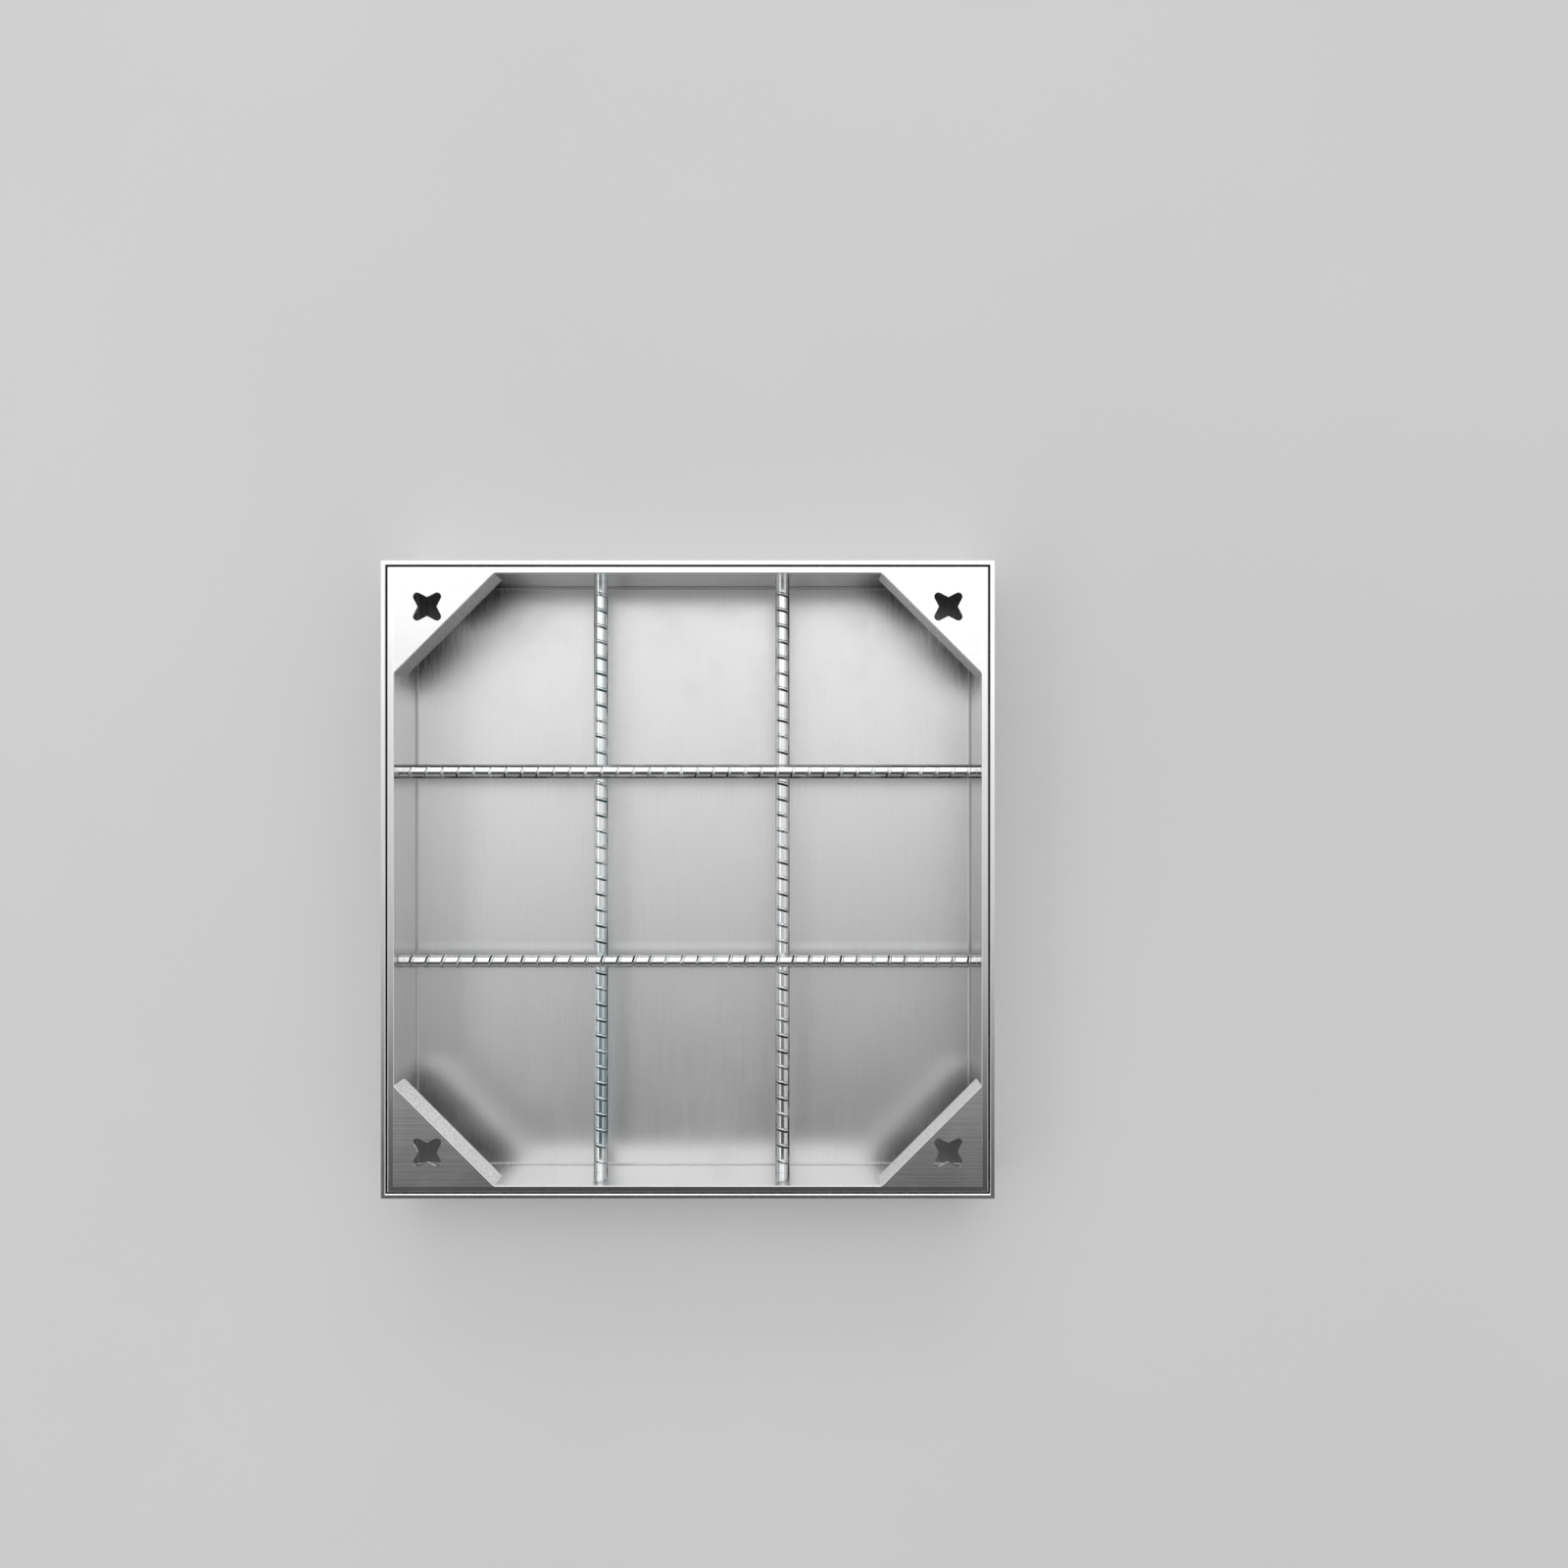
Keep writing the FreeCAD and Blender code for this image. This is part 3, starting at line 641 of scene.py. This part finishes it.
TRAY_STEEL = brushed_steel(
    "tray_steel", colour=0.74, roughness=0.39, grains=TRAY_GRAINS,
    corners=TRAY_CORNER_SHADE, wall_roughness=0.14, spread=0.6)
PLATE_STEEL = brushed_steel(
    "plate_steel", colour=0.80, roughness=0.22, grains=PLATE_GRAINS,
    streak=0.5, mottling=0.45, corners=LIP_CORNER_SHADE)
RAIL_STEEL_ALONG_X = brushed_steel(
    "rail_steel_along_x", colour=0.84, roughness=0.18, grains=GRAINS_ALONG_X, mottling=0.12)
RAIL_STEEL_ALONG_Y = brushed_steel(
    "rail_steel_along_y", colour=0.84, roughness=0.18, grains=GRAINS_ALONG_Y, mottling=0.12)
BAR_ZINC = zinc(
    "bar_zinc", colour=(0.86, 0.865, 0.87, 1.0), tint=(0.78, 0.80, 0.81, 1.0), roughness=0.16,
    crevice_shade_colour=grey(0.03),
    bar_shading=BarShading(colour=grey(0.50), start=-0.075, full=-0.15, most=0.8, clean_side=1))
BLUE_ZINC = zinc(
    "blue_bar_zinc", colour=(0.86, 0.87, 0.87, 1.0), tint=(0.79, 0.85, 0.855, 1.0), roughness=0.16,
    crevice_shade_colour=(0.02, 0.065, 0.07, 1.0),
    bar_shading=BarShading(colour=(0.36, 0.46, 0.49, 1.0), start=0.0, full=-0.16, most=0.85, clean_side=-1))
WELD_METAL = zinc(
    "weld_metal", colour=(0.42, 0.40, 0.38, 1.0), tint=(0.30, 0.27, 0.25, 1.0), roughness=0.45,
    crevice_shade_colour=grey(0.03))
SEAL_RUBBER = rubber("seal_rubber")


def dress(node, material):
    """The material on a CAD node."""
    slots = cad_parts[node].data.materials
    slots.clear()
    slots.append(material)


for side in SIDES:
    dress(f"frame_rail_{side}", RAIL_STEEL_ALONG_X if side in ("front", "back") else RAIL_STEEL_ALONG_Y)
    dress(f"seal_strip_{side}", SEAL_RUBBER)
dress("tray_pan", TRAY_STEEL)
for corner in CORNERS:
    dress(f"corner_plate_{corner}", PLATE_STEEL)
for upper in ("front", "back"):
    for lower in ("left", "right"):
        dress(f"crossing_weld_{upper}_{lower}", WELD_METAL)
dress("bar_end_welds", WELD_METAL)


def new_piece(name, points, faces, material, smooth=True):
    """A mesh piece in the scene."""
    mesh = bpy.data.meshes.new(name)
    mesh.from_pydata(points, [], faces)
    mesh.materials.append(material)
    mesh.validate()
    for polygon in mesh.polygons:
        polygon.use_smooth = smooth
    piece = bpy.data.objects.new(name, mesh)
    bpy.context.scene.collection.objects.link(piece)
    return piece


# Ribbed bars

def smoothstep(low, high, given):
    """0 below low, 1 above high, and an S curve between them."""
    t = min(1.0, max(0.0, (given - low) / (high - low)))
    return t * t * (3 - 2 * t)


def ring_places(length):
    """Places along a bar, close together over each rib, with the rib's height and crevice shade at each."""
    count = math.floor((length - 2 * PLAIN_END) / RIB_PITCH + ROUNDING)
    places = [(-length / 2, 0.0, 0.0), (END_RING - length / 2, 0.0, 0.0)]
    for index in range(count + 1):
        middle = (index - count / 2) * RIB_PITCH
        places += [(middle + offset, share, crevice_shade) for offset, share, crevice_shade in RIB_PROFILE]
    return places + [(length / 2 - END_RING, 0.0, 0.0), (length / 2, 0.0, 0.0)]


def rib_crest(angle):
    """A rib's share of its full height at an angle about the bar's axis: it fades out towards the sides."""
    return smoothstep(*CREST_RANGE, abs(math.sin(angle)))


def from_side(angle):
    """How many degrees an angle about the bar's axis is from the nearer side rib."""
    return math.degrees(math.asin(min(1.0, abs(math.sin(angle)))))


def rubbed_off(bar, angle):
    """How far the ribs are rubbed down at an angle about the bar's axis."""
    return bar.rubbed * smoothstep(*RUBBED_RANGE, math.cos(angle))


def bar_radius(bar, angle, share):
    """The bar's radius at an angle about its axis."""
    side_rib = SIDE_RIB_HEIGHT * math.exp(-(from_side(angle) / SIDE_RIB_SPREAD_DEGREES) ** 2)
    rib = RIB_HEIGHT * (1 - RUBBED_HEIGHT * rubbed_off(bar, angle)) * rib_crest(angle) * share
    return CORE_RADIUS + rib + side_rib


def groove_shade(bar, angle, place):
    """How much painted shade there is in the upper grooves beside the side ribs."""
    if math.sin(angle) <= GROOVE_LIMIT:
        return 0.0
    side = 0 if math.cos(angle) > 0 else 1
    to_end = smoothstep(*END_SHADE_RANGE, abs(place))
    middle, end = bar.grime[side], bar.end_grime[side]
    first, last, most = (a + (b - a) * to_end for a, b in zip(middle, end))
    return most * (1 - smoothstep(first, last, from_side(angle)))


def grime(bar, angle, place, crevice_shade):
    """How much painted shade there is: at the foot of a rib, and beside the side ribs."""
    at_foot = crevice_shade * rib_crest(angle) * (1 - rubbed_off(bar, angle))
    return max(at_foot, groove_shade(bar, angle, place))


def bar_faces(rings):
    """The faces between rings of points, and a cap on each end."""
    faces = []
    for ring in range(rings - 1):
        here, there = ring * AROUND, (ring + 1) * AROUND
        for step in range(AROUND):
            following = (step + 1) % AROUND
            faces.append((here + step, here + following, there + following, there + step))
    last = (rings - 1) * AROUND
    faces.append(tuple(reversed(range(AROUND))))
    faces.append(tuple(range(last, last + AROUND)))
    return faces


def ribbed_bar(node, bar):
    """A finer ribbed bar in the place of a CAD one."""
    low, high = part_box(node)
    size = high - low
    middle = (low + high) / 2
    along_x = size.x > size.y
    length = max(size.x, size.y)
    roll = math.radians(bar.roll)
    places = ring_places(length)
    points, crevice_shades, crests = [], [], []
    for place, share, crevice_shade in places:
        slant = math.tan(RIB_SLANT) * min(1.0, (length / 2 - abs(place)) / SLANT_FADE)
        for step in range(AROUND):
            angle = 2 * math.pi * step / AROUND
            radius = bar_radius(bar, angle, share)
            across, up = radius * math.cos(angle + roll), radius * math.sin(angle + roll)
            along = place + slant * across
            offset = Vector((along, across, up)) if along_x else Vector((-across, along, up))
            points.append(middle + offset)
            # Painted shade at the rib feet and beside the side ribs
            crevice_shades.append(grime(bar, angle, place, crevice_shade))
            crests.append(share * rib_crest(angle))
    material = BLUE_ZINC if node == "lower_bar_left" else BAR_ZINC
    piece = new_piece(f"ribbed_{node}", points, bar_faces(len(places)), material)
    for cap in piece.data.polygons[-2:]:
        cap.use_smooth = False
    for name, levels in (("crevice_shade", crevice_shades), ("crest", crests)):
        attribute = piece.data.attributes.new(name, "FLOAT", "POINT")
        attribute.data.foreach_set("value", levels)
    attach(piece, "root")
    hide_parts(node)


for bar_node, its_bar in BARS.items():
    ribbed_bar(bar_node, its_bar)


# Welds ground flush along the corner plates

def ground_weld(corner):
    """The flush weld that fills the groove between the rim and a corner plate's two legs."""
    low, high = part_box(f"corner_plate_{corner}")
    right, back = "right" in corner, "back" in corner
    reach_x = high.x if right else low.x
    reach_y = high.y if back else low.y
    out_x, out_y = math.copysign(WELD_WIDTH, reach_x), math.copysign(WELD_WIDTH, reach_y)
    stations = (
        (low.x if right else high.x, reach_y, 0.0, out_y),
        (reach_x, reach_y, out_x, out_y),
        (reach_x, low.y if back else high.y, out_x, 0.0),
    )
    points, faces = [], []
    for x, y, step_x, step_y in stations:
        points.append((x, y, high.z - WELD_WIDTH))
        points.append((x, y, high.z))
        points.append((x + step_x, y + step_y, high.z))
    for start in (0, 3):
        for edge in range(3):
            following = (edge + 1) % 3
            faces.append((start + edge, start + following, start + 3 + following, start + 3 + edge))
    faces += [(2, 1, 0), (6, 7, 8)]
    if right == back:
        faces = [tuple(reversed(face)) for face in faces]
    piece = new_piece(f"ground_weld_{corner}", points, faces, PLATE_STEEL, smooth=False)
    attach(piece, "root")


for corner in CORNERS:
    ground_weld(corner)


# Studio

FLOOR_REACH = 6.0
# Light from overhead, by the direction's share towards the back
OVERHEAD = (
    (-0.36, 0.04), (-0.30, 0.07), (-0.25, 0.12), (-0.20, 0.28), (-0.14, 0.51), (-0.05, 0.75),
    (0.0, 0.86), (0.07, 1.02), (0.13, 1.26), (0.17, 1.55), (0.22, 1.66), (0.28, 1.42),
)
# Light from lower down, in front and behind, from the sides, and from the horizon
LOW_LIGHTS = (0.12, 0.95)
LEFT_LIGHT, RIGHT_LIGHT = 0.8, 0.85
HORIZON_LIGHT = 0.7
# Overhead light is this much dimmer towards the left
LEFT_DIMMING = 0.9
# The direction's share along an axis where one light gives way to the next
LOW_RANGE = (0.15, 0.5)
OVERHEAD_RANGE = (0.60, 0.85)
DIMMING_RANGE = (-0.32, -0.04)
LEFT_RANGE = (-0.44, -0.58)
RIGHT_RANGE = (0.42, 0.56)
HORIZON_RANGE = (0.28, 0.5)
# The ramp holds no colour above 1, so it holds the light divided by this
RAMP_SCALE = 2

LAMP_TARGET = Vector((0.0, 0.0, 0.0))

# Camera, straight down over the tray
IMAGE_SIZE = 1600
CAMERA_PLACE = Vector((0.0799, 0.0466, 1.009))
PRINCIPAL_POINT = (802, 839)
LENS = 26.54
SENSOR_WIDTH = 36.0
NEAREST_VISIBLE = 0.05


def make_floor():
    """A wide floor under the cover."""
    reach = FLOOR_REACH
    corners = [(-reach, -reach, 0), (reach, -reach, 0), (reach, reach, 0), (-reach, reach, 0)]
    mesh = bpy.data.meshes.new("studio_floor")
    mesh.from_pydata(corners, [], [(0, 1, 2, 3)])
    mesh.materials.append(studio_floor("studio_floor"))
    floor = bpy.data.objects.new("studio_floor", mesh)
    bpy.context.scene.collection.objects.link(floor)


def overhead_light(nodes, x, y):
    """The light from overhead: bright over the back, dim over the front and a little dimmer at the left."""
    ramp = nodes.add("ShaderNodeValToRGB", {"Fac": nodes.math("MULTIPLY_ADD", y, 0.5, 0.5)})
    elements = ramp.color_ramp.elements
    for index, (share, level) in enumerate(OVERHEAD):
        position = 0.5 + 0.5 * share
        element = elements[index] if index < len(elements) else elements.new(position)
        element.position = position
        element.color = grey(level / RAMP_SCALE)
    dimming = nodes.remap(x, *DIMMING_RANGE, LEFT_DIMMING, 1.0)
    return nodes.product(ramp.outputs[0], RAMP_SCALE, dimming)


def make_world():
    """Soft light overhead, bright over the back and dim over the front, with a pale horizon."""
    world = bpy.data.worlds.new("studio")
    bpy.context.scene.world = world
    world.use_nodes = True
    nodes = Nodes(world.node_tree)
    x, y, z = nodes.split(nodes.add("ShaderNodeTexCoord").outputs["Generated"])
    low_light = nodes.remap(y, *LOW_RANGE, *LOW_LIGHTS, smooth=True)
    level = nodes.mix(nodes.remap(z, *OVERHEAD_RANGE, smooth=True), low_light, overhead_light(nodes, x, y))
    level = nodes.mix(nodes.remap(x, *LEFT_RANGE, smooth=True), level, LEFT_LIGHT)
    level = nodes.mix(nodes.remap(x, *RIGHT_RANGE, smooth=True), level, RIGHT_LIGHT)
    level = nodes.mix(nodes.remap(z, *HORIZON_RANGE, smooth=True), HORIZON_LIGHT, level)
    background = nodes.add("ShaderNodeBackground", {"Color": grey(1.0), "Strength": level})
    nodes.add("ShaderNodeOutputWorld", {"Surface": background.outputs[0]})


def make_lamp(name, place, size, power):
    """A soft rectangular lamp that looks at the cover."""
    data = bpy.data.lights.new(name, "AREA")
    data.shape = "RECTANGLE"
    data.size, data.size_y = size
    data.energy = power
    lamp = bpy.data.objects.new(name, data)
    lamp.location = place
    lamp.rotation_euler = (LAMP_TARGET - Vector(place)).to_track_quat("-Z", "Y").to_euler()
    bpy.context.scene.collection.objects.link(lamp)


def make_camera():
    """The camera, straight down, with the photograph's framing."""
    data = bpy.data.cameras.new("camera")
    data.sensor_width = SENSOR_WIDTH
    data.lens = LENS
    data.shift_x = (IMAGE_SIZE / 2 - PRINCIPAL_POINT[0]) / IMAGE_SIZE
    data.shift_y = (PRINCIPAL_POINT[1] - IMAGE_SIZE / 2) / IMAGE_SIZE
    data.clip_start = NEAREST_VISIBLE
    camera = bpy.data.objects.new("camera", data)
    camera.location = CAMERA_PLACE
    bpy.context.scene.collection.objects.link(camera)
    bpy.context.scene.camera = camera


make_floor()
make_world()
make_lamp("left_softbox", place=(-1.7, -0.1, 1.8), size=(2.2, 0.7), power=4.0)
make_lamp("back_softbox", place=(0.0, 3.5, 1.5), size=(3.5, 0.8), power=22.0)
make_camera()
bpy.context.scene.view_settings.view_transform = "Standard"
